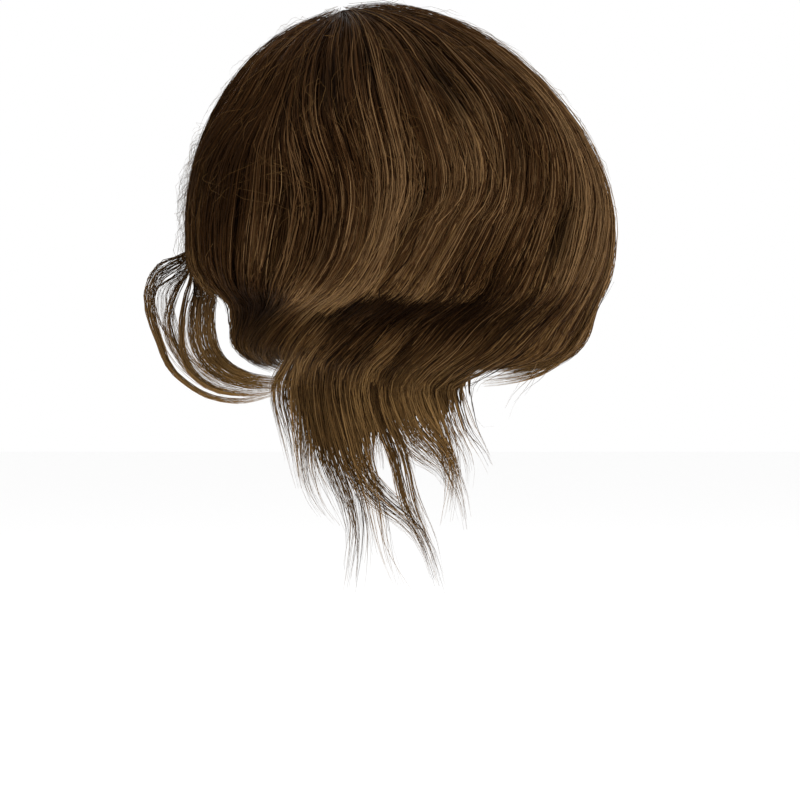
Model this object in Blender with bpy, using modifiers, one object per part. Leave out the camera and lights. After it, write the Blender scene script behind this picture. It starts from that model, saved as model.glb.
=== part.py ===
"""Long haired toupee in the shape that it has when it is worn.

A thin base lies over the crown of the head, sections of hair stand out from it and curl under at the hem,
locks fall down the nape and an open curl hangs at the left side. Metres, +Z up; the wearer faces -Y, the
wearer's left is +X and the origin is the highest point of the scalp.
An azimuth runs from 0 at the back to 90 at the wearer's left. A turn runs from 0 at the whorl on the crown
over 90 at the widest place to the hem.
"""
import math

import bpy
import bmesh
from mathutils import Vector

# Head that the piece is worn on
HEAD_HALF_WIDTH = 0.077
HEAD_HALF_LENGTH = 0.097
HEAD_CENTRE_DROP = 0.105

# Base
BASE_THICKNESS = 0.001
BASE_FRONT_DROP = 0.040
BASE_BACK_DROP = 0.100
BASE_SEGMENTS = 28

# Hair as a whole
HAIR_HALF_WIDTH = 0.128
HAIR_HALF_DEPTH = 0.130
HAIR_LIFT = 0.025
WIDEST_DROP = 0.113
HEM_DROP = 0.200
LEAN = 0.014
WHORL_SIDE = 0.022
WHORL_BACK = 0.022
PLAN_POWER = 2.2
UPPER_POWER = 1.85
LOWER_POWER = 3.0

# Hair wall
WALL_FREE = 0.007
WALL_END = 0.004
FREE_TURN = 70
CROWN_TURN = 20
CROWN_COLUMNS = 44
CROWN_ROWS = 3
SECTION_ROWS = 16
COLUMNS_PER_LOCK = 4

# Relief of the locks, and how far they sweep across the back
LOCK_DEPTH = 0.006
TIP_TURN = 5.0
WAVE_DEPTH = 0.013
SWEEP_TURN = 42
SWEEP_CENTRE = -35
SWEEP_REACH = 105
SWEEP_FROM_TURN = 55
SWEEP_TO_TURN = 150

# Fall of locks down the nape
FALL_DROP = 0.336
FALL_HALF_WIDTH = 0.057
FALL_SIDE = 0.009
FALL_WALL = 0.004
FALL_ROWS = 20
FALL_COLUMNS = 4
FALL_SPLIT = 0.72
FALL_SLIT = 0.10
FALL_TIP_HALF_WIDTH = 0.0018
FALL_TIP_WALL = 0.0022
FALL_UNDER_BASE = 0.012

# Open curl at the left side
CURL_INSET = 0.0278
CURL_BELOW_WIDEST = 0.0448
CURL_HALF_WIDTH = 0.054
CURL_HALF_HEIGHT = 0.0564
CURL_WALL = 0.004
CURL_ROWS = 16
CURL_COLUMNS = 4
CURL_TAIL_BACK = 0.060
CURL_ROOT_FIRST = 106
CURL_ROOT_LAST = 78
CURL_ROOT_SHARE = 0.22
CURL_TAIL_WIDTH = 0.7
CURL_SLIT_FROM = 0.10
CURL_SLIT_TO = 0.88
CURL_IN_SIDE = 0.016
CURL_IN_DROP = 0.005
CURL_IN_SHRINK = 0.36

# Thickness at the edge of a lock as a share of its middle
EDGE_WALL = 0.35

# Clearances
GAP = 0.0004
CURL_ROOT_GAP = 0.0008
SECTION_GAP = 0.0008
MERGE = 0.000001

# Sections of hair round the head; the hem is the turn at their first edge, middle and last edge
SECTIONS = (
    # name, first azimuth, last azimuth, locks, hem at first, hem at middle, hem at last
    ("right_side_hair", -130, -74, 3, 102, 156, 148),
    ("back_right_hair", -74, -24, 3, 148, 147, 147),
    ("back_middle_hair", -24, 26, 3, 147, 146, 145),
    ("back_left_hair", 26, 76, 3, 145, 144, 139),
    ("left_side_hair", 76, 130, 3, 107, 97, 94),
    ("front_hair", 130, 230, 5, 92, 76, 102),
)

# Waves that cross the locks; the height is a share of the wave depth
WAVES = (
    # azimuth, reach in azimuth, turn, reach in turn, height
    (-25, 45, 62, 20, 0.45),
    (45, 40, 55, 18, -0.25),
    (15, 85, 97, 18, 0.60),
    (5, 80, 119, 16, -1.00),
    (60, 35, 112, 22, -0.50),
    (-20, 85, 138, 16, 0.50),
    (-85, 40, 112, 18, -0.35),
)

# How the fall stands behind the head and neck
FALL_PROFILE = (
    # share of the way down, back as a share of the head's half length, half width share, side radius share
    (0.00, 1.000, 0.72, 0.56),
    (0.22, 1.000, 0.85, 0.60),
    (0.34, 0.870, 0.95, 0.72),
    (0.46, 0.770, 1.00, 0.80),
    (0.60, 0.745, 0.92, 1.00),
    (0.80, 0.800, 0.84, 2.00),
    (1.00, 0.880, 0.80, 3.00),
)

# Locks of the fall from the wearer's left to the right
FALL_LOCKS = (
    # side of the tip as a share of the half width, length as a share of the whole fall
    (0.56, 0.80),
    (0.44, 0.90),
    (0.16, 0.93),
    (-0.58, 1.00),
    (-0.32, 0.66),
    (-0.94, 0.85),
    (-1.18, 0.72),
)

# Locks of the curl from the outermost to the innermost
CURL_LOCKS = (
    # share of the way in, half width as a share of the curl's half width, first angle, last angle
    (0.00, 0.060, -56, 116),
    (0.32, 0.075, -47, 114),
    (0.60, 0.085, -38, 112),
    (0.98, 0.165, -24, 110),
)
HEAD_CENTRE = Vector((0, 0, -HEAD_CENTRE_DROP))


def ease(share):
    """Smooth step from 0 to 1."""
    share = min(max(share, 0.0), 1.0)
    return share * share * (3 - 2 * share)


def bump(place):
    """Smooth hill of height 1 at 0 that ends at -1 and 1."""
    if abs(place) >= 1:
        return 0.0
    return 0.5 + 0.5 * math.cos(math.pi * place)


def mix(first, last, share):
    return first + (last - first) * share


def through_three(first, middle, last, share):
    """Parabola through values at 0, a half and 1."""
    pull = 2 * middle - (first + last) / 2
    return mix(mix(first, pull, share), mix(pull, last, share), share)


def read_profile(rows, share):
    """Values of a table's row at a share of the way down, eased between its rows."""
    for upper, lower in zip(rows, rows[1:]):
        if share <= lower[0]:
            part = ease((share - upper[0]) / (lower[0] - upper[0]))
            return [mix(a, b, part) for a, b in zip(upper[1:], lower[1:])]
    return list(rows[-1][1:])


def plan_radius(azimuth):
    """Distance of the widest outline from the axis, seen from above."""
    across = abs(math.sin(math.radians(azimuth))) / HAIR_HALF_WIDTH
    along = abs(math.cos(math.radians(azimuth))) / HAIR_HALF_DEPTH
    return (across ** PLAN_POWER + along ** PLAN_POWER) ** (-1 / PLAN_POWER)


def dome_point(azimuth, turn):
    """Point of the smooth outer form at an azimuth and a turn."""
    reach = plan_radius(azimuth)
    heading = Vector((math.sin(math.radians(azimuth)), math.cos(math.radians(azimuth))))
    if turn < 90:
        share = math.sin(math.radians(turn)) ** (2 / UPPER_POWER)
        place = heading * reach * share + Vector((WHORL_SIDE, WHORL_BACK)) * (1 - share) ** 2
        place_azimuth = math.degrees(math.atan2(place.x, place.y))
        rim_share = min(place.length / plan_radius(place_azimuth), 1.0)
        height = (1 - rim_share ** UPPER_POWER) ** (1 / UPPER_POWER)
        return Vector((place.x + LEAN * height, place.y, (HAIR_LIFT + WIDEST_DROP) * height - WIDEST_DROP))
    below = math.radians(turn - 90)
    place = heading * reach * math.cos(below) ** (2 / LOWER_POWER)
    drop = (HEM_DROP - WIDEST_DROP) * math.sin(below) ** (2 / LOWER_POWER)
    return Vector((place.x, place.y, -WIDEST_DROP - drop))


def outward(point):
    return (point - HEAD_CENTRE).normalized()


def base_distance(direction):
    """Distance from the head's centre to the base's outer face."""
    half_sizes = (HEAD_HALF_WIDTH, HEAD_HALF_LENGTH, HEAD_CENTRE_DROP)
    return sum((d / (size + BASE_THICKNESS)) ** 2 for d, size in zip(direction, half_sizes)) ** -0.5


def swept_azimuth(azimuth, turn):
    """Azimuth of a lock that starts at an azimuth, once it has swept across the back."""
    way = ease((turn - SWEEP_FROM_TURN) / (SWEEP_TO_TURN - SWEEP_FROM_TURN))
    return azimuth + SWEEP_TURN * bump((azimuth - SWEEP_CENTRE) / SWEEP_REACH) * way


def wave_height(azimuth, turn):
    """Height of the waves at a real azimuth and a turn."""
    total = 0.0
    for centre, reach, wave_turn, turn_reach, height in WAVES:
        total += height * bump((azimuth - centre) / reach) * bump((turn - wave_turn) / turn_reach)
    return total * WAVE_DEPTH


def lock_place(across, locks):
    """Place across the lock at a share across a section, from -1 to 1."""
    return 2 * ((across * locks) % 1.0) - 1 if 0 < across < 1 else -1.0


def section_outer(section, across, along):
    """Point of a section's outer face, and its turn."""
    name, first, last, locks, hem_first, hem_middle, hem_last = section
    place = lock_place(across, locks)
    hem = through_three(hem_first, hem_middle, hem_last, across) - TIP_TURN * place * place
    turn = mix(CROWN_TURN, hem, along)
    azimuth = swept_azimuth(mix(first, last, across), turn)
    spread = math.sin(math.radians(min(turn, 90))) * HAIR_HALF_WIDTH
    gap_turn = math.degrees(SECTION_GAP / 2 / spread)
    azimuth += gap_turn * (1 if across < MERGE else -1 if across > 1 - MERGE else 0)
    point = dome_point(azimuth, turn)
    lock_rise = LOCK_DEPTH * (0.5 - place * place) * ease((turn - CROWN_TURN) / (90 - CROWN_TURN))
    return point + outward(point) * (lock_rise + wave_height(azimuth, turn)), turn


def section_inner(section, across, along):
    """Point of a section's inner face: on the base near the crown, and a free curtain lower down."""
    outer, turn = section_outer(section, across, along)
    direction = outward(outer)
    reach = (outer - HEAD_CENTRE).length
    filled = reach - base_distance(direction) - GAP
    free = mix(WALL_FREE, WALL_END, along)
    wall = mix(filled, free, ease((turn - CROWN_TURN) / (FREE_TURN - CROWN_TURN)))
    return HEAD_CENTRE + direction * (reach - wall)


def crown_outer(across, along):
    """Point of the crown's outer face, from the whorl out to the sections."""
    rim_turn = CROWN_TURN - math.degrees(SECTION_GAP / HAIR_HALF_WIDTH)
    return dome_point(360 * across - 180, rim_turn * along)


def crown_inner(across, along):
    direction = outward(crown_outer(across, along))
    return HEAD_CENTRE + direction * (base_distance(direction) + GAP)


def strip_place(across, locks, columns):
    """Lock at a share across a sheet of locks, and the place across that lock from -1 to 1."""
    column = across * (locks * columns - 1)
    lock = min(int(column / columns + MERGE), locks - 1)
    return lock, 2 * (column - lock * columns) / (columns - 1) - 1


def between_locks(across, locks, columns):
    """True on the narrow column that joins or parts two locks of a sheet."""
    return int(across * (locks * columns - 1)) % columns == columns - 1


def lock_wall(wall, place):
    """Thickness of a flat lock, thinner at its edges."""
    return wall * mix(1.0, EDGE_WALL, place * place)


def fall_point(across, along, depth):
    """Point of the fall; depth is 0 on the face towards the neck and 1 on the outer face."""
    lock, place = strip_place(across, len(FALL_LOCKS), FALL_COLUMNS)
    tip_share, length_share = FALL_LOCKS[lock]
    down = along * mix(1.0, length_share, ease(along))
    back_share, width_share, side_share = read_profile(FALL_PROFILE, down)
    pitch = 2 * FALL_HALF_WIDTH * width_share / len(FALL_LOCKS)
    parted = ease((along - FALL_SPLIT) / (1 - FALL_SPLIT))
    side = mix(FALL_HALF_WIDTH * width_share - pitch * (lock + 0.5), tip_share * FALL_HALF_WIDTH, parted)
    half = mix(pitch / 2 * (1 - FALL_SLIT), FALL_TIP_HALF_WIDTH, parted)
    offset = side - place * half
    back = back_share * HEAD_HALF_LENGTH + BASE_THICKNESS + GAP
    back -= offset * offset / (2 * side_share * HEAD_HALF_LENGTH)
    under = Vector((FALL_SIDE + offset, back, -mix(BASE_BACK_DROP - FALL_UNDER_BASE, FALL_DROP, down)))
    direction = outward(under)
    reach = max((under - HEAD_CENTRE).length, base_distance(direction) + GAP)
    thick = lock_wall(mix(FALL_WALL, FALL_TIP_WALL, along), place)
    return HEAD_CENTRE + direction * reach + Vector((0, thick * depth, 0))


def fall_slit(across, along):
    """True between two locks of the fall, below the place where they part."""
    return along > FALL_SPLIT and between_locks(across, len(FALL_LOCKS), FALL_COLUMNS)


def curl_arc(share_in, angle, outwards):
    """Point on a lock's arc at an angle below its widest place, set some way outwards."""
    shrink = 1 - CURL_IN_SHRINK * share_in
    side = HAIR_HALF_WIDTH - CURL_INSET - CURL_IN_SIDE * share_in
    drop = WIDEST_DROP + CURL_BELOW_WIDEST + CURL_IN_DROP * share_in
    turn = math.radians(angle)
    return (side + (CURL_HALF_WIDTH * shrink + outwards) * math.cos(turn),
            -drop - (CURL_HALF_HEIGHT * shrink + outwards) * math.sin(turn))


def curl_root(across, depth):
    """Point just below the hem of the left side hair, where the curl begins."""
    section = next(row for row in SECTIONS if row[0] == "left_side_hair")
    azimuth = mix(CURL_ROOT_FIRST, CURL_ROOT_LAST, across)
    share = (azimuth - section[1]) / (section[2] - section[1])
    hem_outer = section_outer(section, share, 1.0)[0]
    hem_inner = section_inner(section, share, 1.0)
    return hem_inner.lerp(hem_outer, depth) - Vector((0, 0, CURL_ROOT_GAP))


def curl_point(across, along, depth):
    """Point of the curl; depth is 0 on its front face and 1 on the face that shows from behind."""
    lock, place = strip_place(across, len(CURL_LOCKS), CURL_COLUMNS)
    share_in, half_share, first, last = CURL_LOCKS[lock]
    half = half_share * CURL_HALF_WIDTH * mix(1.0, CURL_TAIL_WIDTH, along)
    side, height = curl_arc(share_in, mix(first, last, along), -place * half)
    back = CURL_TAIL_BACK * ease(along) + lock_wall(CURL_WALL, place) * depth
    return curl_root(across, depth).lerp(Vector((side, back, height)), ease(along / CURL_ROOT_SHARE))


def curl_slit(across, along):
    """True between two locks of the curl, except near its root and its tail."""
    return CURL_SLIT_FROM < along < CURL_SLIT_TO and between_locks(across, len(CURL_LOCKS), CURL_COLUMNS)


def closed_patch(name, columns, rows, outer, inner, is_slit=None):
    """Closed body between an outer and an inner face, both given over shares across and along."""
    mesh = bmesh.new()
    bmesh.ops.create_grid(mesh, x_segments=columns, y_segments=rows, size=0.5)
    across = mesh.verts.layers.float.new("across")
    along = mesh.verts.layers.float.new("along")
    for vertex in mesh.verts:
        vertex[across] = vertex.co.x + 0.5
        vertex[along] = 0.5 - vertex.co.y
    if is_slit:
        centres = {face: face.calc_center_median() for face in mesh.faces}
        slits = [face for face, at in centres.items() if is_slit(at.x + 0.5, 0.5 - at.y)]
        bmesh.ops.delete(mesh, geom=slits, context="FACES")
    for vertex in mesh.verts:
        vertex.co = outer(vertex[across], vertex[along])
    bmesh.ops.remove_doubles(mesh, verts=mesh.verts, dist=MERGE)
    wall = bmesh.ops.extrude_face_region(mesh, geom=list(mesh.faces), use_keep_orig=True)
    for item in wall["geom"]:
        if isinstance(item, bmesh.types.BMVert):
            item.co = inner(item[across], item[along])
    bmesh.ops.recalc_face_normals(mesh, faces=mesh.faces)
    bmesh.ops.triangulate(mesh, faces=mesh.faces)
    data = bpy.data.meshes.new(name)
    mesh.to_mesh(data)
    mesh.free()
    data.shade_smooth()
    return bpy.data.objects.new(name, data)


def make_material(name, colour, roughness):
    material = bpy.data.materials.new(name)
    material.use_nodes = True
    shader = material.node_tree.nodes["Principled BSDF"]
    shader.inputs["Base Color"].default_value = (*colour, 1)
    shader.inputs["Roughness"].default_value = roughness
    shader.inputs["Metallic"].default_value = 0
    return material


def make_base():
    """Thin cap on the crown, cut along a plane that is higher at the front."""
    mesh = bmesh.new()
    bmesh.ops.create_uvsphere(mesh, u_segments=BASE_SEGMENTS, v_segments=BASE_SEGMENTS // 2, radius=1)
    half_sizes = (HEAD_HALF_WIDTH, HEAD_HALF_LENGTH, HEAD_CENTRE_DROP)
    bmesh.ops.scale(mesh, vec=[size + BASE_THICKNESS for size in half_sizes], verts=mesh.verts)
    bmesh.ops.translate(mesh, vec=HEAD_CENTRE, verts=mesh.verts)
    rim = Vector((0, 0, -(BASE_FRONT_DROP + BASE_BACK_DROP) / 2))
    slope = Vector((0, BASE_BACK_DROP - BASE_FRONT_DROP, 2 * HEAD_HALF_LENGTH))
    bmesh.ops.bisect_plane(mesh, geom=mesh.verts[:] + mesh.edges[:] + mesh.faces[:],
                           plane_co=rim, plane_no=slope, clear_inner=True)
    data = bpy.data.meshes.new("base_cap")
    mesh.to_mesh(data)
    mesh.free()
    data.shade_smooth()
    base = bpy.data.objects.new("base_cap", data)
    wall = base.modifiers.new("wall", "SOLIDIFY")
    wall.thickness = BASE_THICKNESS
    wall.offset = -1
    return base


def make_crown():
    return closed_patch("crown_hair", CROWN_COLUMNS, CROWN_ROWS, crown_outer, crown_inner)


def make_section(section):
    return closed_patch(
        section[0], section[3] * COLUMNS_PER_LOCK, SECTION_ROWS,
        lambda across, along: section_outer(section, across, along)[0],
        lambda across, along: section_inner(section, across, along))


def make_fall():
    return closed_patch(
        "nape_fall", len(FALL_LOCKS) * FALL_COLUMNS - 1, FALL_ROWS,
        lambda across, along: fall_point(across, along, 1),
        lambda across, along: fall_point(across, along, 0), fall_slit)


def make_curl():
    return closed_patch(
        "side_curl", len(CURL_LOCKS) * CURL_COLUMNS - 1, CURL_ROWS,
        lambda across, along: curl_point(across, along, 1),
        lambda across, along: curl_point(across, along, 0), curl_slit)


def main():
    for thing in list(bpy.data.objects):
        bpy.data.objects.remove(thing)
    collection = bpy.data.collections.new("toupee_hairpiece")
    bpy.context.scene.collection.children.link(collection)
    hair = make_material("hair", (0.060, 0.032, 0.017), 0.45)
    lace = make_material("lace", (0.42, 0.27, 0.18), 0.7)
    base = make_base()
    base.data.materials.append(lace)
    collection.objects.link(base)
    for piece in [make_crown()] + [make_section(section) for section in SECTIONS] + [make_fall(), make_curl()]:
        piece.data.materials.append(hair)
        collection.objects.link(piece)


main()
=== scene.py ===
"""Looks of a long haired toupee: strands of wavy brown hair laid in locks over an under hair darkened with
painted shade, a fall of wisps at the nape, an open curl at the left side, loose hairs round the outline and a
thin lace base.

Metres, +Z up; the wearer faces -Y and the wearer's left is +X. An azimuth runs from 0 at the back to 90 at
the wearer's left. A turn runs from 0 at the whorl on the crown over 90 at the widest place to the hem.
"""
import math

import bmesh
import bpy
import numpy as np
from bpy.props import FloatProperty, FloatVectorProperty, IntProperty, PointerProperty
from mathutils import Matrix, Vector


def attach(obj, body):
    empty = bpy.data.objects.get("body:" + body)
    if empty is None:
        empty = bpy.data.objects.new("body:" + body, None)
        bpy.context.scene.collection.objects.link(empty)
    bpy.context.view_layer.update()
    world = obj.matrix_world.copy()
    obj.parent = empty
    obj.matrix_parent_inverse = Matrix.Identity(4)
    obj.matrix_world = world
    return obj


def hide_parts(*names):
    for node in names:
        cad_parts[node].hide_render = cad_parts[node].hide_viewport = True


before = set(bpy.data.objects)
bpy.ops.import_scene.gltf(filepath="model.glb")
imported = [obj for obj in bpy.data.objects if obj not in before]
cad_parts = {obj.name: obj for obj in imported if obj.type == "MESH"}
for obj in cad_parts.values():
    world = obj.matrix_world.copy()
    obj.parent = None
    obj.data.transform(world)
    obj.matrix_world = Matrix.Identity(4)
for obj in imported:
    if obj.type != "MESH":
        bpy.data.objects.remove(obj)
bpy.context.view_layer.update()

bl_info = {
    "name": "Toupee hairpiece",
    "version": (1, 0, 0),
    "blender": (4, 5, 0),
    "location": "3D View > Sidebar > Toupee",
    "description": "Lays the strands, the under hair and the base of a long haired toupee",
    "category": "Object",
}

SEED = 20
RIDER = "root"
HAIR_NODES = ("crown_hair", "back_left_hair", "back_middle_hair", "back_right_hair", "left_side_hair",
              "right_side_hair", "front_hair")

# Form of the hair, as the solids have it
HEAD_HALF_SIZES = (0.077, 0.097, 0.105)
HEAD_CENTRE = np.array((0.0, 0.0, -0.105))
BASE_THICKNESS = 0.001
HAIR_HALF_WIDTH = 0.128
HAIR_HALF_DEPTH = 0.130
HAIR_LIFT = 0.025
WIDEST_DROP = 0.113
HEM_DROP = 0.200
LEAN = 0.014
WHORL = np.array((0.022, 0.022))
PLAN_POWER = 2.2
UPPER_POWER = 1.85
LOWER_POWER = 3.0
WAVE_DEPTH = 0.013

# Waves across the locks
WAVES = (
    # azimuth, reach in azimuth, turn, reach in turn, height share
    (-25, 45, 62, 20, 0.45),
    (45, 40, 55, 18, -0.25),
    (15, 85, 97, 18, 0.60),
    (5, 80, 119, 16, -1.00),
    (60, 35, 112, 22, -0.50),
    (-20, 85, 138, 16, 0.50),
    (-85, 40, 112, 18, -0.35),
    (-88, 50, 104, 44, -0.34),
    (90, 46, 80, 44, -0.26),
    (5, 48, 109, 12, 0.24),
    (0, 44, 129, 12, -0.22),
)

# Way that the hair lies: the azimuth of each guide line at these turns
GUIDE_TURNS = (40, 56, 66, 76, 86, 94, 102, 110, 118, 126, 134, 142, 150)
GUIDES = (
    (-180, (-180,) * 13),
    (-130, (-130,) * 13),
    (-110, (-110, -110, -110, -110, -110, -110, -109, -108, -107, -106, -104, -102, -100)),
    (-96, (-96, -96, -97, -97, -97, -96, -95, -94, -92, -90, -87, -84, -80)),
    (-84, (-84, -84, -84, -84, -82, -77, -73, -72, -72, -71, -69, -65, -58)),
    (-72, (-72, -72, -73, -74, -70, -62, -56, -54, -54, -53, -51, -45, -36)),
    (-57, (-57, -57, -56, -54, -50, -44, -42, -41, -39, -35, -28, -21, -14)),
    (-45, (-45, -46, -45, -43, -38, -31, -28, -28, -26, -22, -16, -9, -2)),
    (-31, (-31, -32, -31, -30, -27, -18, -16, -14, -11, -6, -1, 6, 14)),
    (-18, (-18, -19, -21, -23, -18, -9, -7, -4, 0, 6, 13, 20, 27)),
    (-8, (-8, -9, -10, -12, -9, 0, 3, 8, 13, 19, 26, 32, 38)),
    (3, (3, 2, 1, 0, 2, 6, 9, 15, 22, 28, 34, 40, 46)),
    (16, (16, 14, 11, 8, 8, 10, 15, 22, 30, 37, 44, 50, 54)),
    (31, (33, 31, 28, 22, 20, 22, 27, 32, 41, 50, 57, 62, 65)),
    (39, (39, 41, 44, 47, 48, 48, 48, 50, 53, 57, 62, 67, 71)),
    (48, (48, 50, 57, 62, 64, 62, 59, 58, 60, 64, 67, 70, 74)),
    (62, (62, 64, 70, 77, 78, 72, 67, 66, 68, 71, 74, 76, 78)),
    (78, (78, 80, 84, 87, 88, 86, 84, 83, 83, 83, 83, 83, 83)),
    (92, (92, 93, 95, 97, 98, 97, 96, 95, 95, 95, 95, 95, 95)),
    (130, (130,) * 13),
    (180, (180,) * 13),
)

# Turn at which the hair ends
HEM = (
    # azimuth at the crown, turn
    (-180, 78),
    (-132, 104),
    (-116, 136),
    (-102, 154),
    (-74, 152),
    (26, 149),
    (44, 148),
    (47, 134),
    (50, 112),
    (55, 105),
    (76, 99),
    (103, 97),
    (130, 95),
    (180, 78),
)

# Seams between main locks: the hair dips into them, and painted shade darkens them
SEAMS = (
    # azimuth at the crown, half width, first turn, last turn, depth share (which also sets the painted shade)
    (-18, 2.6, 34, 70, 0.9),
    (-34, 2.4, 44, 82, 0.8),
    (-52, 2.4, 76, 104, 0.9),
    (20, 3.0, 36, 66, 0.7),
    (6, 2.2, 30, 54, 0.6),
    (-66, 1.8, 60, 96, 0.4),
    (26, 2.0, 84, 104, 0.4),
    (-4, 1.8, 78, 100, 0.4),
)

# Painted highlights and painted shade on the hair: lighter patches on the wave crests and the lit side,
# darker ones in the hollows and on the far side
PAINTED_LIGHT_PATCHES = (
    # azimuth, reach in azimuth, turn, reach in turn, painted light above 0 and painted shade below 0
    (-20, 15, 72, 20, 0.22),
    (28, 9, 70, 16, 0.26),
    (40, 15, 96, 9, 0.18),
    (4, 10, 76, 22, 0.14),
    (5, 70, 96, 12, 0.13),
    (-72, 34, 80, 46, 0.34),
    (85, 50, 66, 50, -0.22),
    (60, 20, 76, 20, -0.22),
    (42, 10, 111, 11, -0.85),
    (50, 10, 125, 12, -0.70),
    (29, 7, 121, 9, 0.36),
    (-22, 8, 101, 9, -0.42),
    (24, 8, 110, 8, 0.30),
    (2, 26, 107, 6, 0.22),
    (-4, 19, 125, 9, -0.90),
    (-34, 14, 128, 9, 0.20),
    (12, 24, 134, 12, -0.80),
    (-50, 14, 116, 9, -0.08),
    (10, 70, 145, 14, -0.20),
    (6, 9, 127, 8, -0.25),
    (-10, 40, 26, 14, 0.08),
    (66, 32, 54, 30, -0.20),
)

# Shape of the dome strands
WIDEST_TURN = 86.0
LOCK_SPACING = 2.2
EVEN_SHARE = 0.45
LATE_START_SHARE = 0.36
LAYERED_SHARE = 0.30
STRAY_SHARE = 0.20
SEAM_DEPTH = 0.0035
LARGEST_ROLL = math.radians(40)

# Fall at the nape: where its middle is, and how round it is across
FALL_MIDDLE = 0.009
FALL_ROUNDNESS = 0.13

# Distance of the fall's outer side behind the head's centre
FALL_BACK = (
    # drop, distance
    (0.100, 0.103),
    (0.150, 0.104),
    (0.185, 0.087),
    (0.205, 0.078),
    (0.235, 0.075),
    (0.290, 0.079),
    (0.340, 0.087),
)

# Lower edge of the thick part of the fall
FALL_EDGE = (
    # side, drop
    (-0.044, 0.206),
    (-0.034, 0.220),
    (-0.022, 0.236),
    (-0.010, 0.235),
    (0.000, 0.230),
    (0.010, 0.238),
    (0.018, 0.248),
    (0.030, 0.257),
    (0.050, 0.254),
    (0.060, 0.232),
)

# Locks of the fall, by the places that their middles pass, in millimetres
FALL_LOCKS = (
    # strands, half width at the hem, half width at the tip, side and drop of each place
    (120, 3.8, 2.2, ((70, 204), (69, 213), (65, 229), (61, 248), (57, 264))),
    (190, 3.6, 1.0, ((60, 205), (58, 223), (57, 241), (56, 255), (52, 267), (46, 277), (37, 286))),
    (170, 4.4, 3.2, ((54, 205), (51, 223), (47, 241), (41, 257), (34, 271), (28, 286), (25, 303))),
    (160, 4.6, 3.4, ((46, 205), (43, 223), (39, 241), (33, 255), (27, 269), (24, 287), (26, 307), (29, 327))),
    (190, 4.4, 0.9, ((39, 205), (36, 220), (32, 235), (27, 250), (19, 262), (10, 272), (0, 277), (-9, 287),
                     (-15, 297), (-18, 309), (-22, 322))),
    (110, 3.8, 2.6, ((31, 205), (28, 223), (24, 239), (20, 254), (15, 271), (12, 290), (8, 305), (2, 319),
                    (-6, 333))),
    (140, 4.4, 2.4, ((24, 204), (21, 219), (17, 231), (14, 243), (13, 256))),
    (160, 4.2, 0.9, ((16, 204), (12, 218), (8, 230), (2, 242), (-1, 253), (-3, 267), (-8, 279), (-14, 291),
                     (-17, 302), (-20, 315), (-24, 328))),
    (160, 4.6, 1.6, ((7, 204), (4, 216), (-1, 229), (-7, 239), (-17, 245), (-26, 252), (-31, 265))),
    (160, 4.4, 1.0, ((-2, 204), (-5, 215), (-11, 228), (-20, 237), (-26, 245), (-30, 258), (-35, 271),
                     (-38, 290))),
    (110, 4.0, 2.6, ((-13, 204), (-16, 214), (-21, 226), (-26, 238), (-29, 254), (-28, 269), (-25, 287))),
    (60, 3.2, 1.4, ((-23, 203), (-26, 213), (-30, 226), (-37, 239), (-41, 252), (-39, 264))),
    (26, 2.2, 0.6, ((-32, 201), (-35, 215), (-39, 229), (-47, 239), (-52, 250), (-56, 261))),
    (5, 0.8, 0.5, ((-43, 203), (-42, 216), (-44, 225), (-49, 229), (-56, 226))),
    (5, 1.2, 0.8, ((-73, 203), (-65, 213), (-61, 223), (-61, 231))),
)

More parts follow.
